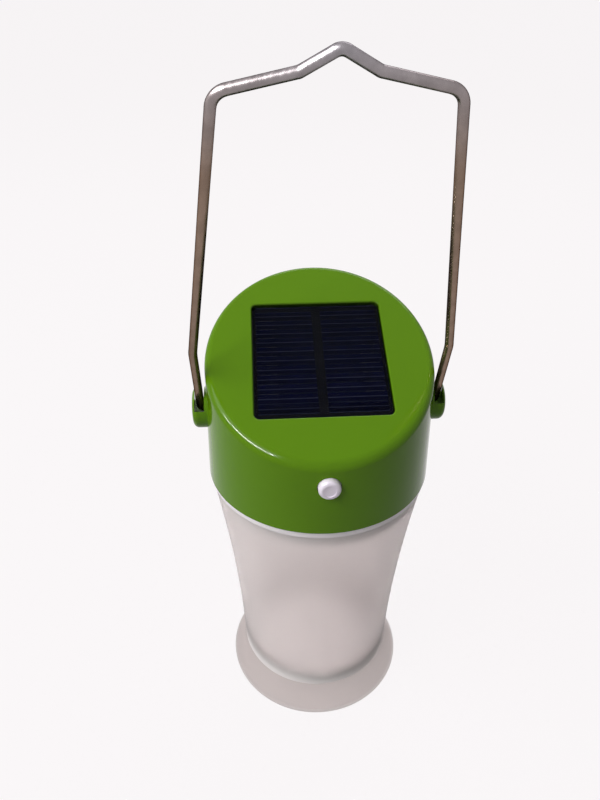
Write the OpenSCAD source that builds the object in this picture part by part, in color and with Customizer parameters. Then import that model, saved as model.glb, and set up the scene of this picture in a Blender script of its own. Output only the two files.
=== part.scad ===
// Solar lantern: a cap with a sloping top that carries a solar panel, a
// frosted diffuser with a bowed side, a flared foot and a wire bail.
// Millimetres, +Z up. The origin is on the table in the middle of the foot,
// and the push button is on the -Y side.

/* [Cap] */
// Radius of the cap at its bottom edge
cap_r = 50; // [48:0.5:58]
// Height of the sloping top above the bottom edge, on the axis
cap_h = 55; // [53:1:66]
// Slope of the top, low at the front
cap_tilt = 23.8; // [18:0.2:25]
// Narrowing of the radius for each millimetre of height
cap_draft = 0.028; // [0.01:0.002:0.04]
// Thickness of the side wall
cap_wall = 2.2; // [1.8:0.1:2.6]
// Thickness of the top
roof_t = 2.4; // [1.8:0.1:3]
// Rounding of the top edge
cap_edge_r = 3; // [2:0.25:4]

/* [Solar panel] */
// Width of the panel, side to side
panel_w = 55.6; // [46:0.2:58]
// Length of the panel, up the slope
panel_l = 58.6; // [48:0.2:60]
// Rounding of the pocket's corners
pocket_corner_r = 2.5; // [1:0.25:5]
// Rounding of the pocket's upper edge
pocket_edge_r = 0.8; // [0.4:0.1:1.2]
// Gap round the panel in its pocket
pocket_gap = 0.4; // [0.2:0.1:0.8]
// Shift of the panel down the slope
panel_shift = 1.3; // [0:0.1:3]
// Depth of the panel's face below the top
panel_sink = 1.2; // [0.6:0.1:2]
// Thickness of the clear resin over the board
resin_t = 0.9; // [0.6:0.1:1.4]
// Thickness of the panel's circuit board
panel_board_t = 1.2; // [0.8:0.1:1.6]
// Thickness of the mounting tape
tape_t = 0.5; // [0.3:0.1:1]
// Width of the mounting tape
tape_w = 8; // [5:0.5:12]
// Inset of the mounting tape from the panel's edges
tape_inset = 2; // [1.5:0.25:4]
// Bare margin beside the cells
side_margin = 1.3; // [1:0.1:4]
// Bare margin above and below the cells
end_margin = 2.8; // [2.2:0.1:5]
// Gap between the two columns of cells
column_gap = 4; // [1.5:0.1:6]
// Cells in each column
cell_rows = 11; // [4:1:12]
// Gap between two cells of a column
cell_gap = 0.35; // [0.3:0.05:1]
// Thickness of a cell
cell_t = 0.3; // [0.2:0.05:0.4]
// Thickness of the solder pads under the board
pad_h = 0.4; // [0.1:0.05:0.45]
// Gap between the two solder pads
pad_gap = 0.4; // [0.3:0.1:0.8]

/* [Push button] */
// Diameter of the button
button_d = 9; // [8:0.2:11]
// Reach of the button out of the wall
button_out = 2.5; // [1.5:0.1:4]
// Distance of the button's middle below the top's front edge
button_drop = 9.5; // [8.6:0.1:12]
// Gap round the button
button_gap = 0.35; // [0.3:0.05:0.5]
// Rounding of the button's face
button_edge_r = 1.6; // [0.6:0.1:2]
// Dish of the button's face
button_dish = 0.25; // [0.1:0.05:0.5]
// Rim left round the dish
dish_rim = 0.4; // [0.2:0.1:1]
// Travel of the button
button_travel = 1; // [0.6:0.1:1.5]
// Wall left in front of the button's flange
shoulder_t = 2.8; // [2.4:0.1:3.4]
// Overhang of the flange that keeps the button in
flange_over = 1.5; // [1:0.1:2]
// Thickness of the flange
flange_t = 1.2; // [0.8:0.1:1.6]
// Wall of the boss round the button
boss_wall = 1.8; // [1.2:0.1:2.4]

/* [Switch] */
// Side of the switch body
switch_w = 8.4; // [7:0.1:10]
// Length of the switch body
switch_l = 7.6; // [6.5:0.1:9]
// Distance from the boss to the switch body
switch_back = 3.2; // [2.6:0.1:5]
// Diameter of the plunger
plunger_d = 3; // [2:0.1:3.6]
// Depth of the plunger in the button and in the switch
plunger_grip = 2.4; // [1.6:0.1:3]
// Width of the switch board
switch_board_w = 28; // [27:0.5:30]
// Reach of the switch board above the button's middle
switch_board_up = 6.5; // [5:0.5:8]
// Reach of the switch board below the button's middle
switch_board_down = 9; // [6:0.5:11]
// Distance of each switch screw from the middle
switch_screw_x = 11.6; // [11:0.1:12]

/* [Wire bail] */
// Diameter of the wire
wire_d = 3.6; // [2.6:0.1:3.6]
// Height of the pivot above the cap's bottom edge
pivot_h = 30.5; // [30:0.5:36]
// Lean of the bail to the front
bail_lean = 18; // [0:1:40]
// Swing of the bail to the front, from upright
front_limit = 57; // [40:1:60]
// Swing of the bail to the back, from upright
back_limit = 88; // [60:1:89]
// Radius of the ear round the pivot
ear_r = 9; // [8:0.5:11]
// Rounding of the ear's outer edge
ear_edge_r = 2.5; // [1:0.25:3]
// Thickness of the pad between the wall and the slot
pad_t = 0.4; // [0.3:0.05:1]
// Width of the slot for the leg
slot_w = 4.2; // [4.2:0.1:5]
// Gap between the leg and the slot's outer face
leg_gap = 0.3; // [0.3:0.01:0.35]
// Thickness of the cheek outside the slot
cheek_t = 1.1; // [0.8:0.1:2.5]
// Running clearance of the pin in its bore
pin_clearance = 0.05; // [0.02:0.01:0.1]
// Wall of the boss round the pin
pin_boss_wall = 2.4; // [1.8:0.1:3]
// Length of the pin's boss inside the cap
pin_boss_l = 5.2; // [3:0.1:7]
// Length of the leg that stays upright above the pivot
leg_straight = 34; // [20:1:40]
// Distance from the pivot up to the bail's corners
corner_up = 138.3; // [110:0.1:170]
// Distance of each corner from the middle
corner_x = 35.6; // [30:0.1:44]
// Rise from the corners to the foot of the peak
dip_rise = 5.5; // [2:0.5:8]
// Half width of the peak
dip_x = 11.2; // [8:0.1:16]
// Rise of the peak above its foot
peak_rise = 6.4; // [5:0.2:9]
// Bend radius at the corners
corner_bend_r = 6.2; // [4:0.1:8]
// Bend radius at the foot of the peak
dip_bend_r = 3.4; // [2.6:0.1:6]
// Bend radius of the peak
peak_bend_r = 3.4; // [2.6:0.1:6]
// Bend radius at the top of the upright stretch
leg_bend_r = 20; // [10:1:40]
// Radius of the ring that keeps the pin in
retainer_r = 4.2; // [3.6:0.1:5]
// Thickness of that ring
retainer_t = 0.8; // [0.5:0.1:1.2]

/* [Base tray] */
// Height of the rim between the cap and the diffuser
rim_h = 3.4; // [3:0.1:5]
// Inset of the rim from the cap's edge
rim_inset = 0.7; // [0.3:0.1:1]
// Rounding of the rim's lower edge
rim_edge_r = 0.5; // [0.2:0.1:0.8]
// Thickness of the tray's plate
tray_t = 2.4; // [1.8:0.1:2.8]
// Height of the ring that centres the cap
locator_h = 5; // [3:0.5:7]
// Gap between that ring and the cap's wall
locator_gap = 0.35; // [0.3:0.05:0.5]
// Height of the skirt inside the diffuser
skirt_h = 6; // [5:0.5:8]
// Thickness of the skirt
skirt_t = 3; // [2.6:0.1:4]
// Section radius of the neck seal
seal_r = 0.8; // [0.6:0.05:1]
// Direction of each tray screw, as an angle from the side
post_angle = 52; // [50:0.5:54]
// Gap between a tray screw's head and the skirt
post_gap = 1.6; // [1:0.1:2]
// Radius of a screw post
post_r = 3.4; // [2.8:0.1:3.8]
// Height of a screw post
post_h = 16; // [12:1:20]
// Thickness of the rib that ties a post to the wall
rib_t = 2; // [1.4:0.1:2.4]

/* [Light] */
// Radius of the light's circuit board
led_board_r = 28; // [27:0.5:32]
// Thickness of each circuit board in the lantern
board_t = 1.6; // [1.2:0.1:1.6]
// Distance of the light's screws from the middle
led_screw_x = 23; // [22.5:0.1:24]
// Lamps in the outer ring
led_count = 8; // [5:1:12]
// Radius of the outer ring of lamps
led_ring_r = 16; // [12:0.5:17]
// Side of a lamp
led_w = 5; // [3:0.1:5.4]
// Thickness of a lamp's base
led_t = 1.2; // [0.8:0.1:1.6]
// Radius of a lamp's lens
led_lens_r = 1.8; // [1.2:0.1:2.2]

/* [Electronics] */
// Width of the main board
main_w = 34; // [32:0.5:35]
// Depth of the main board, front to back
main_l = 20; // [19:0.5:21]
// Distance of the main board's back edge in front of the middle
main_back = 4; // [3.8:0.1:4.6]
// Height of the standoffs under the main board
standoff_h = 5; // [4:0.5:6]
// Radius of a standoff
standoff_r = 2.4; // [2:0.1:2.6]
// Inset of the standoffs from the board's edges
standoff_in = 2.8; // [2.6:0.1:3.2]
// Distance of the larger parts on the board from its middle
layout_x = 8.6; // [8.2:0.1:9]
// Shift of the chip and the coil towards the front
layout_y = 2; // [1.5:0.1:2.4]
// Side of the chip
chip_w = 5; // [4:0.1:5.4]
// Span over the chip's legs
chip_span = 7; // [6.4:0.1:7.6]
// Height of the chip
chip_h = 1.6; // [1:0.1:2]
// Distance between two legs
leg_pitch = 1.27; // [1:0.01:1.27]
// Radius of the coil
coil_r = 3.5; // [3:0.1:4]
// Height of the coil
coil_h = 5; // [3:0.1:6]
// Thickness of the coil's end plates
coil_plate = 1; // [0.6:0.1:1.4]
// Inset of the winding from the end plates
coil_inset = 0.7; // [0.4:0.1:1.2]
// Radius of a capacitor
can_r = 2.2; // [1.8:0.1:2.4]
// Height of a capacitor
can_h = 8; // [6:0.5:10]
// Section radius of the groove round a capacitor
can_groove = 0.4; // [0.2:0.1:0.5]
// Width of the lead socket
socket_w = 6.5; // [5:0.1:7]
// Depth of the lead socket
socket_l = 5.8; // [5:0.1:6]
// Height of the lead socket
socket_h = 6; // [4:0.1:8]
// Diameter of the battery cell
cell_d = 14.2; // [13.8:0.1:14.5]
// Length of the battery cell
cell_l = 50.5; // [49:0.1:51]
// Distance of the battery behind the middle
cell_back = 14.4; // [14:0.1:15]
// Height of the cell's positive button
cell_button_h = 1.2; // [0.8:0.1:1.5]
// Radius of the cell's positive button
cell_button_r = 2.7; // [2:0.1:3]
// Floor and walls of the battery cradle
cradle_t = 1.6; // [1.2:0.1:1.8]
// Gap round the battery cell
cell_clear = 0.2; // [0.1:0.05:0.3]
// Height of the cradle's sides
cradle_h = 8; // [7:0.5:10]
// Reach and width of the cradle's screw flanges
cradle_flange = 6.5; // [6.2:0.1:7]
// Height of the bosses under the flanges
flange_up = 4; // [3.8:0.1:5]
// Thickness of the battery's end tabs
tab_t = 0.5; // [0.3:0.05:0.8]
// Width of the battery's end tabs
tab_w = 8; // [6:0.5:9]
// Reach of the end tabs above the cell's axis
tab_up = 8; // [7.5:0.1:10]
// Radius of an insulated lead
lead_r = 0.7; // [0.5:0.05:0.8]
// Gap between two leads of a pair
lead_gap = 1.4; // [1:0.1:1.6]
// Height of the switch leads' arch over the main board
lead_arch = 3; // [2.5:0.1:4]

/* [Diffuser] */
// Height of the diffuser
diffuser_h = 113.8; // [90:0.2:140]
// Inset of the neck from the rim above it
neck_inset = 0.35; // [0.2:0.05:0.8]
// Outer radius at the waist
waist_r = 38.35; // [36:0.05:42]
// Inward bow of the side
diffuser_bow = 2; // [1:0.1:3]
// Thickness of the diffuser's wall
diffuser_wall = 2.2; // [1.8:0.1:2.4]
// Thickness of the diffuser's floor
floor_t = 2.2; // [1.6:0.1:3]
// Wall left at the neck round the tray's skirt
collar_wall = 2.45; // [2.3:0.05:2.6]
// Clearance of a pushed-in ring
push_gap = 0.05; // [0.02:0.01:0.1]
// Radius of the lip that centres the foot
lip_r = 33.5; // [30:0.5:34]
// Thickness of that lip
lip_t = 2; // [1.4:0.1:2.4]
// Depth of that lip
lip_h = 5; // [3:0.5:7]

/* [Foot] */
// Height of the foot
foot_h = 14.8; // [12:0.2:18]
// Radius of the foot at the table
foot_r = 45; // [43:0.5:50]
// Inward bow of the foot's side
foot_bow = 1.2; // [0.6:0.1:1.6]
// Thickness of the foot
foot_wall = 2; // [1.6:0.1:2.4]
// Flat worn on the round rim, where it stands on the table
foot_flat = 0.25; // [0.15:0.05:0.4]

/* [Screws] */
// Radius of the larger screws
screw_r = 1.4; // [1.2:0.05:1.5]
// Radius of the smaller screws
small_screw_r = 1; // [0.8:0.05:1.1]
// Clearance round a screw
screw_gap = 0.1; // [0.05:0.01:0.15]
// Length of the larger screws under the head
screw_l = 10; // [8:0.5:11]
// Length of the smaller screws under the head
small_screw_l = 6; // [5:0.5:6]

/* [Hidden] */

$fn = 96;
EPS = 0.01;
HAIR = 0.02;
LAP = 0.1;

// Stack of the main pieces, from the table up
cap_z = foot_h + diffuser_h + rim_h;
pivot_z = cap_z + pivot_h;
tray_low = cap_z - tray_t;

// Slope of the top, and the shift that keeps the tapered rings on the axis
slope = tan(cap_tilt);
ring_shift = cap_draft * slope * cap_r;

// Layers of the panel, as depths below the top
resin_low = panel_sink + resin_t;
board_low = resin_low + panel_board_t;
pocket_depth = board_low + tape_t;
pocket_w = panel_w + 2 * pocket_gap;
pocket_l = panel_l + 2 * pocket_gap;
column_w = (panel_w - 2 * side_margin - column_gap) / 2;
column_x = (column_gap + column_w) / 2;
cell_pitch = (panel_l - 2 * end_margin + cell_gap) / cell_rows;

// Clearances and allowances: flange to shoulder, boss past the flange, wall
// of the button's hub, spare depth behind the plunger
flange_gap = 0.1;
boss_over = 0.6;
hub_wall = 1.2;
bore_spare = 0.8;

// The same for the bail: pad to the leg's bend, leg to the slot's floor, pin
// past its boss, boss to the ring
bend_gap = 0.2;
slot_under = 0.3;
pin_reach = 2;
retainer_gap = 0.3;

// Hole left past a screw's tip, play of the seal, diffuser under the skirt,
// battery lead past the cradle, and its drop under the tab's edge
screw_tip = 1;
small_screw_tip = 0.5;
seal_gap = 0.02;
skirt_gap = 0.5;
lead_clear = 1.2;
lead_drop = 2;

// Places along the button's axis, counted from the outer wall
button_h = cap_h - slope * cap_r - button_drop;
front_y = -cap_radius(button_h);
button_z = cap_z + button_h;
shoulder_y = front_y + shoulder_t;
flange_y = shoulder_y + flange_gap;
hub_y = flange_y + flange_t + plunger_grip;
boss_y = flange_y + flange_t + button_travel + boss_over;
switch_y = boss_y + switch_back;
switch_board_y = switch_y + switch_l;
switch_board_back = switch_board_y + board_t;
flange_r = button_d / 2 + flange_over;
boss_r = flange_r + button_gap + boss_wall;

// Places across the bail
wire_r = wire_d / 2;
pin_bore_r = wire_r + pin_clearance;
slot_x = cap_radius(pivot_h) + pad_t;
leg_x = slot_x + slot_w - leg_gap - wire_r;
ear_x = slot_x + slot_w + cheek_t;
pin_bend_r = leg_x - slot_x - bend_gap;
pin_boss_x = cap_radius(pivot_h) - cap_wall - pin_boss_l;
pin_end_x = pin_boss_x - pin_reach;

// Base tray and what it carries
rim_r = cap_r - rim_inset;
locator_r = cap_r - cap_wall - locator_gap;
neck_r = rim_r - neck_inset;
collar_r = neck_r - collar_wall;
skirt_r = collar_r - push_gap;
neck_z = cap_z - rim_h;
seal_z = neck_z - skirt_h / 2;
led_low = tray_low - board_t;
main_z = cap_z + standoff_h;
main_top = main_z + board_t;
main_y = -main_back - main_l / 2;
main_hole_x = main_w / 2 - standoff_in;
main_hole_y = main_l / 2 - standoff_in;
led_screw_y = -main_back / 2;
screw_head_r = 2 * screw_r;
small_head_r = 2 * small_screw_r;
screw_head_h = 1.2 * screw_r;
small_head_h = 1.2 * small_screw_r;
post_d = skirt_r - skirt_t - screw_head_r - post_gap;
post_x = post_d * cos(post_angle);
post_y = post_d * sin(post_angle);

// Battery and cradle
cradle_w = cell_d + 2 * (cell_clear + cradle_t);
cradle_end = cell_l / 2 + tab_t + cradle_t;
cell_z = cap_z + cradle_t + cell_clear + cell_d / 2;
flange_z = cap_z + flange_up;
flange_hole = (cradle_w + cradle_flange) / 2;
tab_top = cell_z + tab_up;

// Leads
lead_pitch = 2 * lead_r + lead_gap;
lead_hole_r = lead_pitch / 2 + 2 * lead_r;
panel_lead_y = main_y;
led_lead_y = main_y + socket_l / 2 + lead_hole_r;
pad_y = (panel_lead_y - (board_low + pad_h) * sin(cap_tilt)) / cos(cap_tilt) + panel_shift;

// Radius of the cap at a height above its bottom edge
function cap_radius(height) = cap_r - cap_draft * height;

// Height of a plane under the sloping top, at a distance behind the middle
function under_top(depth, y) = cap_z + cap_h + slope * y - depth / cos(cap_tilt);

// ---------------------------------------------------------------- helpers

// Places its children on the sloping top, with +Z out of the lantern
module on_top() {
  translate([0, 0, cap_z + cap_h])
    rotate([cap_tilt, 0, 0])
      translate([0, -panel_shift, 0])
        children();
}

// Places its children at the button, with +Z out of the lantern
module at_button(y) {
  translate([0, y, button_z])
    rotate([90, 0, 0])
      children();
}

// Draws its children on both sides of the middle
module both_sides() {
  for (side = [0, 1])
    mirror([side, 0, 0])
      children();
}

// Draws its children in all four quarters
module four_corners(x, y) {
  for (sx = [-1, 1], sy = [-1, 1])
    translate([sx * x, sy * y, 0])
      children();
}

// Rectangle with round corners
module round_rect(w, l, r) {
  for (turn = [0, 1])
    square(turn == 0 ? [w - 2 * r, l] : [w, l - 2 * r], center = true);
  four_corners(w / 2 - r, l / 2 - r)
    circle(r = r, $fn = 48);
}

// Turns a profile about the axis and leans its rings to the slope of the top,
// a quarter turn at a time
module leaned_lathe() {
  lean = [
    [1, 0, 0, 0],
    [0, 1, 0, -ring_shift],
    [0, slope, 1, -slope * ring_shift],
    [0, 0, 0, 1]
  ];
  for (quarter = [0:3])
    multmatrix(lean)
      rotate_extrude(start = quarter * 90, angle = 90)
        children();
}

// Form of the cap, inset from its outer face, with its top edge rounded by r
module cap_form(inset, top_inset, r) {
  low = -(cap_r + ring_shift) * slope - cap_edge_r;
  top = cap_h - top_inset / cos(cap_tilt);
  low_r = cap_radius(low) - inset;
  top_r = cap_radius(top) - inset;
  translate([0, 0, cap_z])
    intersection() {
      leaned_lathe() {
        polygon([[0, low], [low_r, low], [top_r, top - r], [0, top - r]]);
        translate([0, top - r - EPS])
          square([top_r - r, r + EPS]);
        translate([top_r - r, top - r])
          intersection() {
            circle(r = r, $fn = 64);
            translate([-r, -r])
              square([2 * r, 2 * r]);
          }
      }
      cylinder(r = 2 * cap_r, h = 3 * cap_h);
    }
}

// Section of a wall between two heights whose outer face bows inward
module bowed_wall(low_r, low_z, high_r, high_z, bow, wall) {
  chord = norm([high_r - low_r, high_z - low_z]);
  bow_r = chord * chord / (8 * bow) + bow / 2;
  out = [high_z - low_z, low_r - high_r] / chord;
  centre = [low_r + high_r, low_z + high_z] / 2 + out * (bow_r - bow);
  intersection() {
    translate([0, low_z])
      square([max(low_r, high_r), high_z - low_z]);
    translate(centre)
      difference() {
        circle(r = bow_r + wall, $fn = 720);
        circle(r = bow_r, $fn = 720);
      }
  }
}

// Frame whose X and Z axes point as given
function axes(x, z, at) =
  let (y = cross(z, x))
  [
    [x[0], y[0], z[0], at[0]],
    [x[1], y[1], z[1], at[1]],
    [x[2], y[2], z[2], at[2]],
    [0, 0, 0, 1]
  ];
function unit(v) = v / norm(v);
function square_to(v) = unit(cross(v, abs(v[2]) < 0.9 ? [0, 0, 1] : [1, 0, 0]));
function way(points, i) = unit(points[i + 1] - points[i]);
function turn_at(points, i) = acos(way(points, i - 1) * way(points, i));
function tangent_l(points, bends, i) =
  i == 0 || i == len(points) - 1 ? 0 : bends[i - 1] * tan(turn_at(points, i) / 2);

// Round wire along a line of points, with a bend of its own radius at each
// inner point. The straights are a hair thinner than the bends and reach
// into them, which gives each joint a clean edge.
module bent_wire(points, bends, r, sides) {
  last = len(points) - 1;
  for (i = [0:last - 1]) {
    d = way(points, i);
    start = points[i] + d * (i == 0 ? 0 : tangent_l(points, bends, i) - LAP);
    end = points[i + 1] - d * (i == last - 1 ? 0 : tangent_l(points, bends, i + 1) - LAP);
    multmatrix(axes(square_to(d), d, start))
      cylinder(r = r - HAIR, h = norm(end - start), $fn = sides);
  }
  for (i = [1:1:last - 1]) {
    d = way(points, i - 1);
    next = way(points, i);
    inward = unit(next - (next * d) * d);
    start = points[i] - d * tangent_l(points, bends, i);
    multmatrix(axes(-inward, cross(d, inward), start + inward * bends[i - 1]))
      rotate_extrude(angle = turn_at(points, i))
        translate([bends[i - 1], 0])
          circle(r = r, $fn = sides);
  }
}

// Pan-head screw with a cross recess, its head above the origin
module screw(r, head_r, head_h, length) {
  difference() {
    union() {
      cylinder(r = head_r, h = head_h, $fn = 32);
      translate([0, 0, -length])
        cylinder(r = r, h = length + EPS, $fn = 32);
    }
    for (turn = [0, 90])
      rotate([0, 0, turn])
        translate([-0.7 * head_r, -0.15 * head_r, 0.4 * head_h])
          cube([1.4 * head_r, 0.3 * head_r, head_h]);
  }
}

// Places its children on the screw posts at the level of the tray
module at_posts() {
  translate([0, 0, cap_z])
    four_corners(post_x, post_y)
      children();
}

// Places its children at the cradle's two screws, at a height
module at_flanges(z) {
  for (side = [-1, 1])
    translate([0, cell_back + side * flange_hole, z])
      children();
}

// Places its children at the four holes of the main board, on its top face
module at_main_holes() {
  translate([0, main_y, main_top])
    four_corners(main_hole_x, main_hole_y)
      children();
}

// ---------------------------------------------------------------- cap

module ear_form() {
  pad_x = cap_r - cap_wall;
  rotate([0, 90, 0])
    rotate_extrude() {
      translate([0, pad_x])
        square([ear_r, ear_x - ear_edge_r - pad_x]);
      square([ear_r - ear_edge_r, ear_x]);
      translate([ear_r - ear_edge_r, ear_x - ear_edge_r])
        circle(r = ear_edge_r, $fn = 64);
    }
}

// Room that a leg sweeps between its two limits, seen from the side
module slot_form() {
  reach = 3 * ear_r;
  half = wire_r + slot_under;
  front = [-sin(front_limit), cos(front_limit)];
  back = [sin(back_limit), cos(back_limit)];
  under_front = half * [-cos(front_limit), -sin(front_limit)];
  under_back = half * [cos(back_limit), -sin(back_limit)];
  circle(r = half + HAIR, $fn = 48);
  polygon([
    under_front,
    under_front + reach * front,
    [0, 2 * reach],
    under_back + reach * back,
    under_back
  ]);
}

module cap_inside() {
  on_top()
    translate([0, 0, -pocket_depth - roof_t])
      linear_extrude(pocket_depth)
        round_rect(
          pocket_w + 2 * roof_t,
          pocket_l + 2 * roof_t,
          pocket_corner_r + roof_t
        );
  both_sides()
    translate([pin_boss_x, 0, pivot_z])
      rotate([0, 90, 0])
        cylinder(r = pin_bore_r + pin_boss_wall, h = cap_r - pin_boss_x);
  at_button(boss_y)
    cylinder(r = boss_r, h = boss_y - front_y);
  both_sides()
    translate([switch_screw_x, 0, 0])
      at_button(switch_board_y)
        cylinder(r = small_screw_r + boss_wall, h = switch_board_y - front_y, $fn = 48);
  at_posts()
    cylinder(r = post_r, h = post_h, $fn = 48);
  for (sx = [-1, 1], sy = [-1, 1])
    rotate([0, 0, atan2(sy * post_y, sx * post_x)])
      translate([norm([post_x, post_y]), -rib_t / 2, cap_z + EPS])
        cube([cap_r, rib_t, post_h - 2 * EPS]);
}

// Section that rounds an edge: a square less the quarter circle that stays,
// which is a hair large and gives the cut a clean edge
module edge_section(r) {
  difference() {
    translate([0, -r])
      square([r, r + EPS]);
    translate([r, -r])
      circle(r = r + HAIR, $fn = 48);
  }
}

// Cut that rounds the pocket's upper edge along its sides and corners
module pocket_rounding() {
  side_w = pocket_w - 2 * pocket_corner_r;
  side_l = pocket_l - 2 * pocket_corner_r;
  on_top() {
    for (quarter = [0:3]) {
      run = quarter % 2 == 0 ? side_l : side_w;
      out = (quarter % 2 == 0 ? pocket_w : pocket_l) / 2;
      rotate([0, 0, quarter * 90])
        translate([out, run / 2, 0])
          rotate([90, 0, 0])
            linear_extrude(run)
              edge_section(pocket_edge_r);
    }
    for (sx = [-1, 1], sy = [-1, 1])
      translate([sx * side_w / 2, sy * side_l / 2, 0])
        rotate_extrude(start = sx > 0 ? (sy > 0 ? 0 : 270) : (sy > 0 ? 90 : 180), angle = 90)
          translate([pocket_corner_r, 0])
            edge_section(pocket_edge_r);
  }
}

module cap_shell() {
  color("yellowgreen")
    difference() {
      union() {
        difference() {
          union() {
            cap_form(0, 0, cap_edge_r);
            both_sides()
              translate([0, 0, pivot_z])
                ear_form();
          }
          translate([0, 0, -EPS])
            cap_form(cap_wall, roof_t, EPS);
        }
        intersection() {
          cap_form(cap_wall / 2, roof_t / 2, EPS);
          cap_inside();
        }
      }
      // Pocket for the panel, and the way through it for the leads
      on_top()
        translate([0, 0, -pocket_depth])
          linear_extrude(pocket_depth + cap_edge_r)
            round_rect(pocket_w, pocket_l, pocket_corner_r);
      pocket_rounding();
      translate([0, panel_lead_y, cap_z + cap_h / 2])
        cylinder(r = lead_hole_r, h = cap_h, $fn = 48);
      // Bores and slots of the bail
      both_sides()
        translate([pin_boss_x - 1, 0, pivot_z])
          rotate([0, 90, 0])
            cylinder(r = pin_bore_r, h = slot_x - pin_boss_x + 1 + EPS);
      both_sides()
        translate([slot_x, 0, pivot_z])
          rotate([90, 0, 90])
            linear_extrude(slot_w)
              slot_form();
      // Bore of the button and room for its flange
      at_button(boss_y + 1)
        cylinder(r = button_d / 2 + button_gap, h = cap_r);
      at_button(boss_y + 1)
        cylinder(r = flange_r + button_gap, h = boss_y + 1 - shoulder_y);
      // Pilot holes
      both_sides()
        translate([switch_screw_x, 0, 0])
          at_button(switch_board_y + 1)
            cylinder(r = small_screw_r + screw_gap, h = small_screw_l + 1, $fn = 32);
      at_posts()
        translate([0, 0, -1])
          cylinder(r = screw_r + screw_gap, h = screw_l + 1, $fn = 32);
    }
}

// ---------------------------------------------------------------- panel

module panel_outline() {
  round_rect(panel_w, panel_l, pocket_corner_r - pocket_gap);
}

module panel_tape() {
  color("white")
    on_top()
      translate([0, 0, -pocket_depth])
        linear_extrude(tape_t)
          both_sides()
            translate([panel_w / 2 - tape_inset - tape_w, tape_inset - panel_l / 2])
              square([tape_w, panel_l - 2 * tape_inset]);
}

module panel_board() {
  color([0.05, 0.06, 0.08])
    on_top()
      translate([0, 0, -board_low])
        linear_extrude(panel_board_t)
          panel_outline();
}

module at_cells() {
  for (side = [-1, 1], row = [0:cell_rows - 1])
    translate([side * column_x, (row - (cell_rows - 1) / 2) * cell_pitch, -resin_low])
      children();
}

module cell_plate() {
  linear_extrude(cell_t)
    square([column_w, cell_pitch - cell_gap], center = true);
}

module solar_cells() {
  color([0.07, 0.09, 0.18])
    on_top()
      at_cells()
        cell_plate();
}

module solder_pads() {
  color("silver")
    on_top()
      for (side = [-1, 1])
        translate([side * lead_pitch / 2, pad_y, -board_low - pad_h])
          cylinder(r = (lead_pitch - pad_gap) / 2, h = pad_h, $fn = 32);
}

module panel_resin() {
  color([0.2, 0.22, 0.3, 0.35])
    on_top()
      difference() {
        translate([0, 0, -resin_low])
          linear_extrude(resin_t)
            panel_outline();
        at_cells()
          translate([0, 0, -EPS])
            linear_extrude(cell_t + EPS)
              square([column_w, cell_pitch - cell_gap], center = true);
      }
}

// ---------------------------------------------------------------- button

module push_button() {
  face = flange_y - front_y + button_out;
  color("white")
    at_button(flange_y)
      difference() {
        rotate_extrude() {
          translate([0, -flange_t])
            square([flange_r, flange_t]);
          square([button_d / 2, face - button_edge_r]);
          square([button_d / 2 - button_edge_r, face]);
          translate([button_d / 2 - button_edge_r, face - button_edge_r])
            circle(r = button_edge_r, $fn = 48);
          translate([0, flange_y - hub_y])
            square([plunger_d / 2 + hub_wall, hub_y - flange_y]);
        }
        translate([0, 0, flange_y - hub_y - EPS])
          cylinder(r = plunger_d / 2, h = plunger_grip + EPS, $fn = 32);
        translate([0, 0, face - button_dish])
          cylinder(r = button_d / 2 - button_edge_r - dish_rim, h = 1, $fn = 64);
      }
}

module switch_plunger() {
  tip_y = switch_y + plunger_grip;
  color("dimgray")
    at_button(tip_y)
      cylinder(r = plunger_d / 2, h = tip_y - flange_y - flange_t, $fn = 32);
}

module switch_body() {
  bore_l = plunger_grip + button_travel + bore_spare;
  color([0.1, 0.1, 0.1])
    difference() {
      translate([-switch_w / 2, switch_y, button_z - switch_w / 2])
        cube([switch_w, switch_l, switch_w]);
      at_button(switch_y + bore_l)
        cylinder(r = plunger_d / 2 + button_gap, h = bore_l + 1, $fn = 32);
    }
}

module switch_board() {
  color("darkgreen")
    difference() {
      translate([-switch_board_w / 2, switch_board_y, button_z - switch_board_down])
        cube([switch_board_w, board_t, switch_board_down + switch_board_up]);
      both_sides()
        translate([switch_screw_x, 0, 0])
          at_button(switch_board_back + 1)
            cylinder(r = small_screw_r + screw_gap, h = board_t + 2, $fn = 32);
    }
}

module switch_screws() {
  color("silver")
    both_sides()
      translate([switch_screw_x, switch_board_back, button_z])
        rotate([-90, 0, 0])
          screw(small_screw_r, small_head_r, small_head_h, small_screw_l + board_t - small_screw_tip);
}

// ---------------------------------------------------------------- bail

module wire_bail() {
  dip_up = corner_up + dip_rise;
  peak_up = dip_up + peak_rise;
  half = [
    [pin_end_x, 0, 0],
    [leg_x, 0, 0],
    [leg_x, 0, leg_straight],
    [corner_x, 0, corner_up],
    [dip_x, 0, dip_up]
  ];
  half_bends = [pin_bend_r, leg_bend_r, corner_bend_r, dip_bend_r];
  last = len(half) - 1;
  points = concat(
    [for (i = [0:last]) [-half[i][0], 0, half[i][2]]],
    [[0, 0, peak_up]],
    [for (i = [0:last]) half[last - i]]
  );
  bends = concat(
    half_bends,
    [peak_bend_r],
    [for (i = [0:last - 1]) half_bends[last - 1 - i]]
  );
  color("silver")
    translate([0, 0, pivot_z])
      rotate([bail_lean, 0, 0])
        bent_wire(points, bends, wire_r, 48);
}

module bail_retainers() {
  color("gray")
    both_sides()
      translate([pin_boss_x - retainer_gap - retainer_t, 0, pivot_z])
        rotate([0, 90, 0])
          difference() {
            cylinder(r = retainer_r, h = retainer_t, $fn = 48);
            translate([0, 0, -1])
              cylinder(r = wire_r, h = retainer_t + 2, $fn = 48);
          }
}

// ---------------------------------------------------------------- tray

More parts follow.
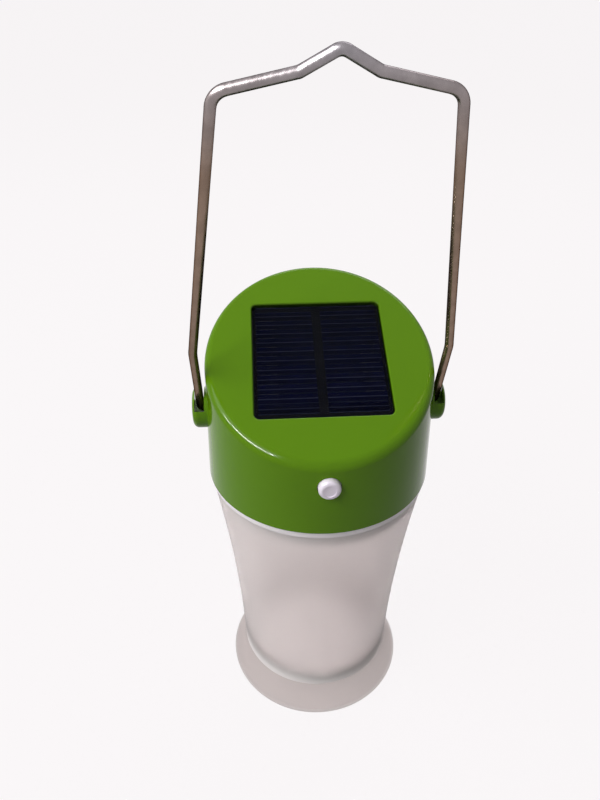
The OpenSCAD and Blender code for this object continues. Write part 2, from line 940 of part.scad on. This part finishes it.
module base_tray() {
  color("whitesmoke")
    difference() {
      union() {
        translate([0, 0, cap_z])
          rotate_extrude() {
            translate([0, -tray_t])
              square([rim_r, tray_t]);
            translate([skirt_r - skirt_t, -rim_h + rim_edge_r])
              square([rim_r - skirt_r + skirt_t, rim_h - rim_edge_r]);
            translate([skirt_r - skirt_t, -rim_h])
              square([rim_r - rim_edge_r - skirt_r + skirt_t, rim_h]);
            translate([rim_r - rim_edge_r, rim_edge_r - rim_h])
              circle(r = rim_edge_r, $fn = 32);
            translate([skirt_r - skirt_t, -rim_h - skirt_h])
              square([skirt_t, skirt_h + EPS]);
          }
        locator_ring();
        at_main_holes()
          translate([0, 0, -board_t - standoff_h])
            cylinder(r = standoff_r, h = standoff_h, $fn = 48);
        both_sides()
          translate([led_screw_x, led_screw_y, cap_z - EPS])
            cylinder(r = small_screw_r + boss_wall / 2, h = standoff_h, $fn = 48);
        at_flanges(cap_z - EPS)
          cylinder(r = small_screw_r + boss_wall, h = flange_up + EPS, $fn = 48);
      }
      // Groove for the neck seal
      translate([0, 0, seal_z - seal_r])
        difference() {
          cylinder(r = skirt_r + 1, h = 2 * seal_r);
          translate([0, 0, -1])
            cylinder(r = collar_r - 2 * seal_r, h = 2 * seal_r + 2);
        }
      // Holes for the screws and the lamp leads
      at_posts()
        translate([0, 0, -tray_t - 1])
          cylinder(r = screw_r + screw_gap, h = tray_t + 2, $fn = 32);
      at_main_holes()
        translate([0, 0, -board_t - standoff_h])
          cylinder(r = small_screw_r + screw_gap, h = standoff_h + 1, $fn = 32);
      both_sides()
        translate([led_screw_x, led_screw_y, tray_low - 1])
          cylinder(r = small_screw_r + screw_gap, h = small_screw_l + 1, $fn = 32);
      at_flanges(flange_z - small_screw_l)
        cylinder(r = small_screw_r + screw_gap, h = small_screw_l + 1, $fn = 32);
      translate([0, led_lead_y, tray_low - 1])
        cylinder(r = lead_hole_r, h = tray_t + 2, $fn = 48);
    }
}

// Ring that centres the cap, open where the ribs of the posts pass
module locator_ring() {
  difference() {
    translate([0, 0, cap_z - EPS])
      cylinder(r = locator_r, h = locator_h);
    translate([0, 0, cap_z - 1])
      cylinder(r = locator_r - cap_wall, h = locator_h + 2);
    for (sx = [-1, 1], sy = [-1, 1])
      rotate([0, 0, atan2(sy * post_y, sx * post_x)])
        translate([norm([post_x, post_y]), -rib_t, cap_z])
          cube([cap_r, 2 * rib_t, locator_h + 1]);
  }
}

module tray_screws() {
  color("silver")
    translate([0, 0, -tray_t])
      at_posts()
        rotate([180, 0, 0])
          screw(screw_r, screw_head_r, screw_head_h, screw_l + tray_t - screw_tip);
}

module neck_seal() {
  color([0.15, 0.15, 0.15])
    translate([0, 0, seal_z])
      rotate_extrude()
        translate([collar_r - seal_r, 0])
          circle(r = seal_r - seal_gap, $fn = 32);
}

// ---------------------------------------------------------------- light

module led_board() {
  color("white")
    difference() {
      translate([0, 0, led_low])
        cylinder(r = led_board_r, h = board_t);
      both_sides()
        translate([led_screw_x, led_screw_y, led_low - 1])
          cylinder(r = small_screw_r + screw_gap, h = board_t + 2, $fn = 32);
    }
}

module at_lamps() {
  translate([0, 0, led_low - led_t]) {
    children();
    for (i = [0:led_count - 1])
      rotate([0, 0, (i + 0.5) * 360 / led_count])
        translate([led_ring_r, 0, 0])
          children();
  }
}

module led_lamps() {
  color("ivory")
    at_lamps()
      translate([-led_w / 2, -led_w / 2, 0])
        cube([led_w, led_w, led_t]);
}

module led_lenses() {
  color("gold")
    at_lamps()
      intersection() {
        sphere(r = led_lens_r, $fn = 32);
        translate([-led_w, -led_w, -led_w])
          cube([2 * led_w, 2 * led_w, led_w]);
      }
}

module led_screws() {
  color("silver")
    both_sides()
      translate([led_screw_x, led_screw_y, led_low])
        rotate([180, 0, 0])
          screw(small_screw_r, small_head_r, small_head_h, small_screw_l);
}

// ---------------------------------------------------------------- electronics

module main_board() {
  color("darkgreen")
    difference() {
      translate([-main_w / 2, main_y - main_l / 2, main_z])
        cube([main_w, main_l, board_t]);
      at_main_holes()
        translate([0, 0, -board_t - 1])
          cylinder(r = small_screw_r + screw_gap, h = board_t + 2, $fn = 32);
    }
}

module board_screws() {
  color("silver")
    at_main_holes()
      screw(small_screw_r, small_head_r, small_head_h, small_screw_l - small_screw_tip);
}

module driver_chip() {
  leg = [leg_pitch / 3, chip_span, chip_h / 3];
  color([0.12, 0.12, 0.12])
    translate([-layout_x, main_y - layout_y, main_top]) {
      translate([-chip_w / 2, -chip_w / 2, 0])
        cube([chip_w, chip_w, chip_h]);
      for (i = [-1.5:1:1.5])
        translate([i * leg_pitch - leg[0] / 2, -leg[1] / 2, 0])
          cube(leg);
    }
}

module power_coil() {
  color("saddlebrown")
    translate([layout_x, main_y - layout_y, main_top])
      rotate_extrude()
        difference() {
          square([coil_r, coil_h]);
          translate([coil_r - coil_inset, coil_plate])
            square([coil_r, coil_h - 2 * coil_plate]);
        }
}

module capacitors() {
  color("navy")
    both_sides()
      translate([layout_x, -main_back - 2 * can_r, main_top])
        rotate_extrude()
          difference() {
            square([can_r, can_h]);
            translate([can_r, can_h / 4])
              circle(r = can_groove, $fn = 32);
          }
}

module lead_socket() {
  color("ivory")
    translate([-socket_w / 2, panel_lead_y - socket_l / 2, main_top])
      cube([socket_w, socket_l, socket_h]);
}

module battery_cell() {
  color("royalblue")
    translate([-cell_l / 2, cell_back, cell_z])
      rotate([0, 90, 0])
        rotate_extrude() {
          square([cell_d / 2, cell_l - cell_button_h]);
          square([cell_button_r, cell_l]);
        }
}

module battery_tabs() {
  color("silver")
    both_sides()
      translate([cell_l / 2, cell_back - tab_w / 2, cap_z + cradle_t])
        cube([tab_t, tab_w, tab_top - cap_z - cradle_t]);
}

module battery_cradle() {
  color([0.2, 0.2, 0.2])
    difference() {
      union() {
        translate([-cradle_end, cell_back - cradle_w / 2, cap_z])
          cube([2 * cradle_end, cradle_w, cradle_h]);
        at_flanges(flange_z)
          translate([-cradle_flange / 2, -cradle_flange / 2 - EPS, 0])
            cube([cradle_flange, cradle_flange + 2 * EPS, cradle_t]);
      }
      translate([-cell_l / 2, cell_back, cell_z])
        rotate([0, 90, 0])
          cylinder(r = cell_d / 2 + cell_clear, h = cell_l);
      both_sides()
        translate([cell_l / 2 - EPS, cell_back - tab_w / 2, cap_z + cradle_t])
          cube([tab_t + EPS, tab_w, cradle_h]);
      at_flanges(flange_z - 1)
        cylinder(r = small_screw_r + screw_gap, h = cradle_t + 2, $fn = 32);
    }
}

module cradle_screws() {
  color("silver")
    at_flanges(flange_z + cradle_t)
      screw(small_screw_r, small_head_r, small_head_h, small_screw_l);
}

// ---------------------------------------------------------------- leads

module panel_leads() {
  low = main_top + socket_h;
  high = under_top(board_low + pad_h, panel_lead_y - lead_r);
  color("firebrick")
    for (side = [-1, 1])
      translate([side * lead_pitch / 2, panel_lead_y, low])
        cylinder(r = lead_r, h = high - low, $fn = 32);
}

module switch_leads() {
  top_y = switch_board_back + lead_r;
  pad_y = main_y - main_l / 2 + lead_arch;
  arch_z = main_top + lead_arch;
  color("khaki")
    for (x = [-2 * lead_pitch, 2 * lead_pitch])
      bent_wire(
        [
          [x, top_y, button_z - switch_board_down / 2],
          [x, top_y, arch_z],
          [x, pad_y, arch_z],
          [x, pad_y, main_top]
        ],
        [2 * lead_r, 2 * lead_r], lead_r, 32
      );
}

module battery_leads() {
  x = cradle_end + lead_r + lead_clear;
  rise = tab_top - lead_drop;
  pad_x = main_w / 2 - standoff_in;
  bend_r = 2 * lead_r;
  color("red")
    both_sides()
      bent_wire(
        [
          [pad_x, main_y, main_top],
          [pad_x, main_y, rise],
          [x, main_y, rise],
          [x, cell_back, rise],
          [cell_l / 2 + tab_t, cell_back, rise]
        ],
        [bend_r, 2 * bend_r, bend_r], lead_r, 32
      );
}

module led_leads() {
  color("khaki")
    for (side = [-1, 1])
      translate([side * lead_pitch / 2, led_lead_y, tray_low])
        cylinder(r = lead_r, h = main_z - tray_low, $fn = 32);
}

// ---------------------------------------------------------------- body

module diffuser() {
  color([0.93, 0.91, 0.9, 0.75])
    difference() {
      rotate_extrude($fn = 144) {
        bowed_wall(waist_r, foot_h, neck_r, neck_z, diffuser_bow, diffuser_wall);
        translate([0, foot_h])
          square([waist_r - diffuser_wall / 2, floor_t]);
        translate([lip_r - lip_t, foot_h - lip_h])
          square([lip_t, lip_h + EPS]);
      }
      translate([0, 0, neck_z - skirt_h - skirt_gap])
        cylinder(r = collar_r, h = skirt_h + 2, $fn = 144);
    }
}

module foot() {
  web_r = lip_r + push_gap;
  bead_r = foot_wall / 2;
  bead_z = bead_r - foot_flat;
  color([0.93, 0.91, 0.9, 0.75])
    rotate_extrude($fn = 144) {
      bowed_wall(foot_r, bead_z, waist_r, foot_h, foot_bow, foot_wall);
      translate([web_r, foot_h - foot_wall])
        square([waist_r - foot_wall / 2 - web_r, foot_wall]);
      intersection() {
        translate([foot_r - bead_r, bead_z])
          circle(r = bead_r, $fn = 32);
        square(2 * foot_r);
      }
    }
}

cap_shell();
panel_tape();
panel_board();
solar_cells();
solder_pads();
panel_resin();
push_button();
switch_plunger();
switch_body();
switch_board();
switch_screws();
wire_bail();
bail_retainers();
base_tray();
tray_screws();
neck_seal();
led_board();
led_lamps();
led_lenses();
led_screws();
main_board();
driver_chip();
power_coil();
capacitors();
lead_socket();
board_screws();
battery_cell();
battery_tabs();
battery_cradle();
cradle_screws();
panel_leads();
switch_leads();
battery_leads();
led_leads();
diffuser();
foot();
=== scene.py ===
import math

import bpy
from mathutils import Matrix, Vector


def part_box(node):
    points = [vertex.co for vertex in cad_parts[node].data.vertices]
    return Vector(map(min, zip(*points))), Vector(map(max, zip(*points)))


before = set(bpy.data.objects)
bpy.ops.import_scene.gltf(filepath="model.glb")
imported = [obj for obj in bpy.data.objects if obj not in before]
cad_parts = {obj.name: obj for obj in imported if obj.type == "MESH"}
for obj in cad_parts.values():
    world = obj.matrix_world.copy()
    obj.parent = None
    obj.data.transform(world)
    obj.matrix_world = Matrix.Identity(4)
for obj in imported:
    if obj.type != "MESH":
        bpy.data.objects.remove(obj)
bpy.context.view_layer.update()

# ---------------------------------------------------------------- places

cap_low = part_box("cap_shell")[0].z
cap_base = Vector((0, 0, cap_low))
shade_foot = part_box("foot")[1].z
shade_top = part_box("diffuser")[1].z

# The panel lies on a slope, so places on it are measured up the slope and off it.
CELL_ROWS = 11
cells_low, cells_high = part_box("solar_cells")
cells_mid = (cells_low + cells_high) / 2
up_slope = Vector((0, cells_high.y - cells_low.y, cells_high.z - cells_low.z))
cell_pitch = up_slope.length / CELL_ROWS
up_slope.normalize()
off_slope = Vector((0, -up_slope.z, up_slope.y))
resin_low, resin_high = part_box("panel_resin")
resin_mid = (resin_low + resin_high) / 2

# ---------------------------------------------------------------- camera

eye = cap_base + Vector((-0.02375, -0.24285, 0.18988))
aim = cap_base + Vector((-0.00508, 0.04969, 0))
camera = bpy.data.objects.new("camera", bpy.data.cameras.new("camera"))
bpy.context.scene.collection.objects.link(camera)
camera.location = eye
camera.rotation_euler = (aim - eye).to_track_quat("-Z", "Y").to_euler()
camera.data.lens = 29.7
camera.data.sensor_width = 36
bpy.context.scene.camera = camera

# ---------------------------------------------------------------- node helpers

# Most of a noise lies between these values.
NOISE_LOW, NOISE_HIGH = 0.3, 0.7


class Shader:
    """A material's node tree, with short calls for the nodes that it needs."""

    def __init__(self, name):
        self.material = bpy.data.materials.new(name)
        self.material.use_nodes = True
        self.nodes = self.material.node_tree.nodes
        self.links = self.material.node_tree.links
        self.out = self.nodes["Material Output"]
        self.main = self.nodes["Principled BSDF"]
        self.place = self.nodes.new("ShaderNodeTexCoord").outputs["Object"]

    def put(self, value, socket):
        if isinstance(value, bpy.types.NodeSocket):
            self.links.new(value, socket)
        else:
            socket.default_value = value

    def set(self, **values):
        for name, value in values.items():
            self.put(value, self.main.inputs[name.replace("_", " ")])

    def noise(self, scale, detail=2, rough=0.5, place=None):
        node = self.nodes.new("ShaderNodeTexNoise")
        self.put(place or self.place, node.inputs["Vector"])
        self.put(scale, node.inputs["Scale"])
        self.put(detail, node.inputs["Detail"])
        self.put(rough, node.inputs["Roughness"])
        return node.outputs["Fac"]

    def stretch(self, scale):
        node = self.nodes.new("ShaderNodeMapping")
        self.put(self.place, node.inputs["Vector"])
        self.put(scale, node.inputs["Scale"])
        return node.outputs["Vector"]

    def math(self, kind, a, b=0.0, clamp=False):
        node = self.nodes.new("ShaderNodeMath")
        node.operation = kind
        node.use_clamp = clamp
        self.put(a, node.inputs[0])
        self.put(b, node.inputs[1])
        return node.outputs[0]

    def times(self, first, *rest):
        for value in rest:
            first = self.math("MULTIPLY", first, value)
        return first

    def span(self, value, low, high, to_low, to_high):
        node = self.nodes.new("ShaderNodeMapRange")
        for item, socket in zip((value, low, high, to_low, to_high), node.inputs):
            self.put(item, socket)
        return node.outputs[0]

    def spread(self, noise, to_low, to_high):
        return self.span(noise, NOISE_LOW, NOISE_HIGH, to_low, to_high)

    def mix(self, share, a, b):
        node = self.nodes.new("ShaderNodeMix")
        node.data_type = "RGBA"
        self.put(share, node.inputs["Factor"])
        self.put(a, node.inputs["A"])
        self.put(b, node.inputs["B"])
        return node.outputs["Result"]

    def axis(self, name):
        node = self.nodes.new("ShaderNodeSeparateXYZ")
        self.put(self.place, node.inputs[0])
        return node.outputs[name]

    def along(self, direction, start):
        """Distance from a point in a direction."""
        node = self.nodes.new("ShaderNodeVectorMath")
        node.operation = "DOT_PRODUCT"
        self.put(self.place, node.inputs[0])
        node.inputs[1].default_value = direction
        return self.math("SUBTRACT", node.outputs["Value"], start.dot(direction))

    def bump(self, height, strength, distance, below=None):
        node = self.nodes.new("ShaderNodeBump")
        self.put(height, node.inputs["Height"])
        self.put(strength, node.inputs["Strength"])
        self.put(distance, node.inputs["Distance"])
        if below is not None:
            self.put(below, node.inputs["Normal"])
        return node.outputs["Normal"]


def rgb(red, green, blue):
    """Linear colour from its 0 to 255 screen values."""
    def one(v):
        v = v / 255
        return v / 12.92 if v <= 0.04045 else ((v + 0.055) / 1.055) ** 2.4
    return (one(red), one(green), one(blue), 1)


def shade(colour, factor):
    return tuple(c * factor for c in colour[:3]) + (1,)


# ---------------------------------------------------------------- materials

GREEN = rgb(92, 135, 11)
FROST = rgb(233, 228, 227)
FOOT_FROST = rgb(202, 194, 192)
# The lighter colour painted on the outer wall's foot, painted light against the shade
# there
PAINTED_LIGHT_FROST = rgb(255, 250, 249)
STEEL_EDGE = (0.05, 0.04, 0.04, 1)
BOARD_GREEN = rgb(20, 80, 40)
LEAD_YELLOW = rgb(200, 180, 90)

# How dark the painted pocket shade or a dull place is, as a share of its colour
PAINTED_SHADE_DARK = 0.06
DULL = 0.8

# The frosted wall, in metres: how far above its foot it stops being closed and painted
# lighter, how far below its top it starts to close, and the radius that only its outer
# wall is past
LIT_BAND_END = (0.002, 0.012)
TOP_FADE = (0.009, 0.003)
TOP_CLEAR = 0.45
INNER_RADIUS = 0.0375
# Ends that leave both of those changes outside a piece
NO_FOOT, NO_TOP = -0.014, 1

# The heights between which a painted reflection turns the bail's wire from brown to grey
REFLECTION_LOW, REFLECTION_HIGH = 0.27, 0.305

# Metal lines on the cells, and how far from a line's middle it fades, in lines
LINES_PER_CELL = 2
LINE_FADE = (0.05, 0.11)
# Half of the dark strip between the two columns of cells
HALF_GAP = 0.002

# The painted shade on the pocket's walls, from the middle of the resin: how far it goes
# past the resin's edge, where it fades out on the pocket's walls, and how far down it
# reaches
SHADE_PAST = 0.001
SHADE_FADE = (0.0008, 0.0016)
SHADE_DEPTH = 0.0025


def moulded(name, colour, rough, specular=0.35, grain=0.5, painted_shade=None):
    """Moulded plastic: a slow drift of colour, fine grain and a faint orange peel, with
    painted shade where a mask is given.
    """
    s = Shader(name)
    slow = s.noise(45, 3)
    fine = s.noise(2600, 2)
    tone = s.mix(slow, shade(colour, 0.96), shade(colour, 1.04))
    # Painted shade: the pocket's walls are darkened like a recess in shadow
    if painted_shade:
        tone = s.mix(painted_shade(s), tone, shade(colour, PAINTED_SHADE_DARK))
    grained = s.bump(fine, grain, 0.00006)
    s.set(
        Base_Color=s.mix(s.spread(fine, 0, 0.3), tone, shade(colour, 0.93)),
        Roughness=s.spread(s.noise(700, 3), rough * 0.88, rough * 1.12),
        Specular_IOR_Level=specular,
        Normal=s.bump(s.noise(240, 2), grain * 0.25, 0.0004, grained),
    )
    return s.material


def frosted(name, colour, rough, clear, low, high):
    """Frosted plastic that light passes through, from its foot to its top.

    The outer wall is closed at the foot and painted lighter there, painted light that
    lifts the shade where it meets the foot, and the wall is less clear at the top.
    """
    s = Shader(name)
    slow = s.noise(28, 3)
    fine = s.noise(1800, 3)
    rise = s.span(s.axis("Z"), low + LIT_BAND_END[0], low + LIT_BAND_END[1], 0, 1)
    fall = s.span(s.axis("Z"), high - TOP_FADE[0], high - TOP_FADE[1], 1, TOP_CLEAR)
    tone = s.mix(slow, shade(colour, 0.97), shade(colour, 1.02))
    x, y = s.axis("X"), s.axis("Y")
    round_out = s.math("ADD", s.times(x, x), s.times(y, y))
    outer = s.math("GREATER_THAN", round_out, INNER_RADIUS**2)
    # Painted light: the outer wall's foot is closed and painted lighter to lift its
    # shade
    closed_lit_band = s.times(outer, s.math("SUBTRACT", 1, rise, clamp=True))
    s.set(
        Base_Color=s.mix(closed_lit_band, tone, PAINTED_LIGHT_FROST),
        Roughness=s.spread(fine, rough * 0.85, rough * 1.15),
        Specular_IOR_Level=0.25,
        Transmission_Weight=s.times(s.math("SUBTRACT", 1, closed_lit_band), fall, clear),
        IOR=1.15,
        Normal=s.bump(fine, 0.35, 0.00008),
    )
    return s.material


def steel(name, colour, rough, grain=1.0, reflected_top=None, low=0.0, high=1.0, metal=1.0):
    """Drawn or pressed steel with fine lines, and a painted reflection that turns it to
    the top colour from the high height upwards.
    """
    s = Shader(name)
    reflected_top = reflected_top or colour
    lines = s.noise(900, 2, place=s.stretch((1, 1, 0.06)))
    spots = s.noise(180, 3)
    # Painted reflection: the colour turns to the top colour between the two heights
    rise = s.span(s.axis("Z"), low, high, 0, 1)
    tone = s.mix(rise, colour, reflected_top)
    dull = s.mix(rise, shade(colour, DULL), shade(reflected_top, DULL))
    s.set(
        Base_Color=s.mix(s.span(spots, 0.35, 0.65, 0, 1), dull, tone),
        Metallic=metal,
        Roughness=s.spread(lines, rough * 0.75, rough * 1.3),
        Specular_Tint=STEEL_EDGE,
        Normal=s.bump(lines, 0.25 * grain, 0.00005),
    )
    return s.material


def circuit(name, colour):
    """Circuit board lacquer over faint copper runs."""
    s = Shader(name)
    runs = s.noise(420, 0, place=s.stretch((1, 0.15, 1)))
    s.set(
        Base_Color=s.mix(s.span(runs, 0.48, 0.52, 0, 1), shade(colour, 0.75), colour),
        Roughness=s.spread(s.noise(900, 2), 0.35, 0.5),
        Specular_IOR_Level=0.4,
        Normal=s.bump(runs, 0.3, 0.00005),
    )
    return s.material


def fingers(s):
    """1 on the thin metal lines across the cells and 0 between them."""
    turn = s.times(s.along(up_slope, cells_mid), LINES_PER_CELL / cell_pitch)
    off = s.math("ABSOLUTE", s.math("SUBTRACT", turn, s.math("ROUND", turn)))
    return s.span(off, *LINE_FADE, 1, 0)


def painted_pocket_shade(s):
    """1 on the pocket's walls beside the panel, where shade is painted dark, else 0."""
    reach_x = resin_high.x + SHADE_PAST
    reach_y = (resin_high.y - resin_low.y) / 2 / up_slope.y + SHADE_PAST
    up = s.math("ABSOLUTE", s.along(up_slope, resin_mid))
    beside = s.math("LESS_THAN", s.math("ABSOLUTE", s.axis("X")), reach_x)
    within = s.math("LESS_THAN", up, reach_y)
    rise = s.along(off_slope, resin_mid)
    below_lip = s.span(rise, *SHADE_FADE, 1, 0)
    in_pocket = s.math("GREATER_THAN", rise, -SHADE_DEPTH)
    return s.times(below_lip, in_pocket, beside, within)


def silicon(name, colour, line):
    """Cells of dark silicon: a crystal drift of blue, with metal lines."""
    s = Shader(name)
    grain = s.noise(160, 4, place=s.stretch((1, 0.4, 0.4)))
    dark = s.mix(grain, shade(colour, 0.5), shade(colour, 1.3))
    lines = fingers(s)
    worn = s.times(lines, s.spread(s.noise(120, 2), 0.75, 1))
    s.set(
        Base_Color=s.mix(worn, dark, line),
        Roughness=s.spread(grain, 0.25, 0.4),
        Specular_IOR_Level=0.05,
        Normal=s.bump(lines, 0.4, 0.00005),
    )
    return s.material


def backing(name, colour, line):
    """The panel's board: black lacquer, with tinned joints between the cells."""
    s = Shader(name)
    across = s.math("ABSOLUTE", s.axis("X"))
    inside = s.math("LESS_THAN", across, cells_high.x)
    beside = s.math("GREATER_THAN", across, HALF_GAP)
    strip = s.times(fingers(s), inside, beside)
    grain = s.noise(500, 3)
    board = s.mix(grain, shade(colour, 0.7), shade(colour, 1.3))
    s.set(
        Base_Color=s.mix(strip, board, line),
        Roughness=s.spread(grain, 0.35, 0.5),
        Specular_IOR_Level=0.05,
        Normal=s.bump(grain, 0.2, 0.00005),
    )
    return s.material


def resin(name, colour):
    """Clear resin: the cells show through its gloss."""
    s = Shader(name)
    s.set(
        Base_Color=s.mix(s.noise(90, 2), shade(colour, 0.8), shade(colour, 1.2)),
        Roughness=s.spread(s.noise(400, 2), 0.1, 0.16),
        Specular_IOR_Level=0.12,
        Alpha=0.2,
        Normal=s.bump(s.noise(140, 2), 0.05, 0.0003),
    )
    return s.material


materials = {
    # The cap carries painted shade on its pocket's walls beside the panel
    "cap_shell": moulded("cap_green", GREEN, 0.1, 0.1, 0.03, painted_pocket_shade),
    "push_button": moulded("button_white", rgb(250, 240, 254), 0.35),
    "base_tray": moulded("tray_white", rgb(248, 242, 246), 0.4),
    "diffuser": frosted("frosted_shade", FROST, 0.5, 0.84, shade_foot, shade_top),
    "foot": frosted("frosted_foot", FOOT_FROST, 0.5, 0.8, NO_FOOT, NO_TOP),
    # The bail's brown legs and grey top are a painted reflection of its surroundings
    "wire_bail": steel(
        "bail_steel",
        rgb(138, 118, 104),
        rough=0.3,
        grain=0.3,
        reflected_top=rgb(150, 146, 150),
        low=REFLECTION_LOW,
        high=REFLECTION_HIGH,
        metal=0.95,
    ),
    "bail_retainers": steel("retainer_steel", rgb(150, 150, 150), 0.35),
    "panel_board": backing("panel_backing", rgb(5, 6, 10), rgb(40, 46, 70)),
    "solar_cells": silicon("cell_silicon", rgb(10, 17, 84), rgb(120, 128, 170)),
    "panel_resin": resin("panel_clear", rgb(4, 7, 24)),
    "main_board": circuit("main_lacquer", BOARD_GREEN),
    "switch_board": circuit("switch_lacquer", BOARD_GREEN),
    "led_board": circuit("light_lacquer", rgb(225, 225, 220)),
    "led_lenses": moulded("lens_yellow", rgb(222, 190, 70), 0.2),
    "solder_pads": steel("pad_tin", rgb(52, 56, 76), 0.5),
    "led_lamps": moulded("lamp_ivory", rgb(230, 225, 205), 0.4),
    "driver_chip": moulded("chip_black", rgb(28, 28, 30), 0.5),
    "power_coil": moulded("coil_copper", rgb(140, 80, 40), 0.4),
    "capacitors": moulded("can_blue", rgb(30, 35, 90), 0.35),
    "lead_socket": moulded("socket_ivory", rgb(226, 220, 196), 0.45),
    "battery_cell": moulded("cell_wrap", rgb(50, 90, 170), 0.35),
    "battery_cradle": moulded("cradle_black", rgb(40, 40, 42), 0.5),
    "panel_tape": moulded("tape_white", rgb(225, 225, 220), 0.7),
    "neck_seal": moulded("seal_black", rgb(30, 30, 30), 0.7),
    "switch_body": moulded("switch_black", rgb(26, 26, 28), 0.5),
    "switch_plunger": moulded("plunger_grey", rgb(80, 80, 84), 0.5),
    "panel_leads": moulded("lead_red", rgb(160, 40, 34), 0.5),
    "battery_leads": moulded("battery_red", rgb(170, 34, 30), 0.5),
    "switch_leads": moulded("lead_yellow", LEAD_YELLOW, 0.5),
    "led_leads": moulded("light_yellow", LEAD_YELLOW, 0.5),
}
# The other nodes are the screws and the battery's tabs.
screw_steel = steel("screw_steel", rgb(190, 188, 184), 0.3)
for name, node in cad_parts.items():
    node.data.materials.clear()
    node.data.materials.append(materials.get(name, screw_steel))

# ---------------------------------------------------------------- floor and light

PAPER = (0.956, 0.93, 0.939, 1)
BOUNCE = (0.3, 0.295, 0.29, 1)
SKY_LIGHT = (0.24, 0.236, 0.232, 1)
FLOOR_REACH = 60
# How much of the floor's paper glows; the rest takes the object's shadow
FLOOR_GLOW = 0.96
# The lamps aim at this height above the cap's base
LAMP_AIM = 0.03


def seen_paper(tree, light):
    """Paper to the camera, to mirrors and to clear plastic, and this colour as light."""
    ray = tree.nodes.new("ShaderNodeLightPath").outputs
    share = ray["Is Camera Ray"]
    for flag in ("Is Glossy Ray", "Is Transmission Ray"):
        node = tree.nodes.new("ShaderNodeMath")
        node.operation = "ADD"
        node.use_clamp = True
        tree.links.new(ray[flag], node.inputs[0])
        tree.links.new(share, node.inputs[1])
        share = node.outputs[0]
    node = tree.nodes.new("ShaderNodeMix")
    node.data_type = "RGBA"
    tree.links.new(share, node.inputs["Factor"])
    node.inputs["A"].default_value = light
    node.inputs["B"].default_value = PAPER
    return share, node.outputs["Result"]


far = FLOOR_REACH
floor_mesh = bpy.data.meshes.new("floor")
floor_mesh.from_pydata(
    [(-far, -far, 0), (far, -far, 0), (far, far, 0), (-far, far, 0)],
    [],
    [(0, 1, 2, 3)],
)
floor = bpy.data.objects.new("floor", floor_mesh)
bpy.context.scene.collection.objects.link(floor)
s = Shader("paper_floor")
share, colour = seen_paper(s.material.node_tree, BOUNCE)
s.set(Base_Color=colour, Roughness=0.9, Specular_IOR_Level=0.0)
glow = s.nodes.new("ShaderNodeEmission")
glow.inputs["Color"].default_value = PAPER
blend = s.nodes.new("ShaderNodeMixShader")
s.put(s.times(share, FLOOR_GLOW), blend.inputs[0])
s.put(s.main.outputs[0], blend.inputs[1])
s.put(glow.outputs[0], blend.inputs[2])
s.put(blend.outputs[0], s.out.inputs["Surface"])
floor_mesh.materials.append(s.material)

world = bpy.data.worlds.new("studio")
bpy.context.scene.world = world
world.use_nodes = True
sky = world.node_tree
share, colour = seen_paper(sky, SKY_LIGHT)
sky.links.new(colour, sky.nodes["Background"].inputs["Color"])


def area_light(name, place, size, strength):
    """A soft light aimed at the cap, which gives it this much light face on."""
    at = cap_base + Vector((0, 0, LAMP_AIM))
    off = Vector(place)
    lamp = bpy.data.lights.new(name, "AREA")
    lamp.shape = "RECTANGLE"
    lamp.size, lamp.size_y = size
    lamp.energy = strength * math.pi**2 * off.length_squared
    item = bpy.data.objects.new(name, lamp)
    item.location = at + off
    item.rotation_euler = (-off).to_track_quat("-Z", "Y").to_euler()
    bpy.context.scene.collection.objects.link(item)
    return item


area_light("key_light", (-0.95, -0.45, 1.0), (1.3, 0.9), 0.95)
edge_light = area_light("edge_light", (-0.92, -0.64, 0.9), (0.95, 0.04), 2.6)
# The strip is there for the highlight along the cap's edge, so it shows in gloss alone
edge_light.visible_diffuse = False
edge_light.visible_transmission = False
area_light("back_light", (0.3, 0.9, 1.0), (0.9, 0.5), 0.3)

bpy.context.scene.view_settings.view_transform = "Standard"
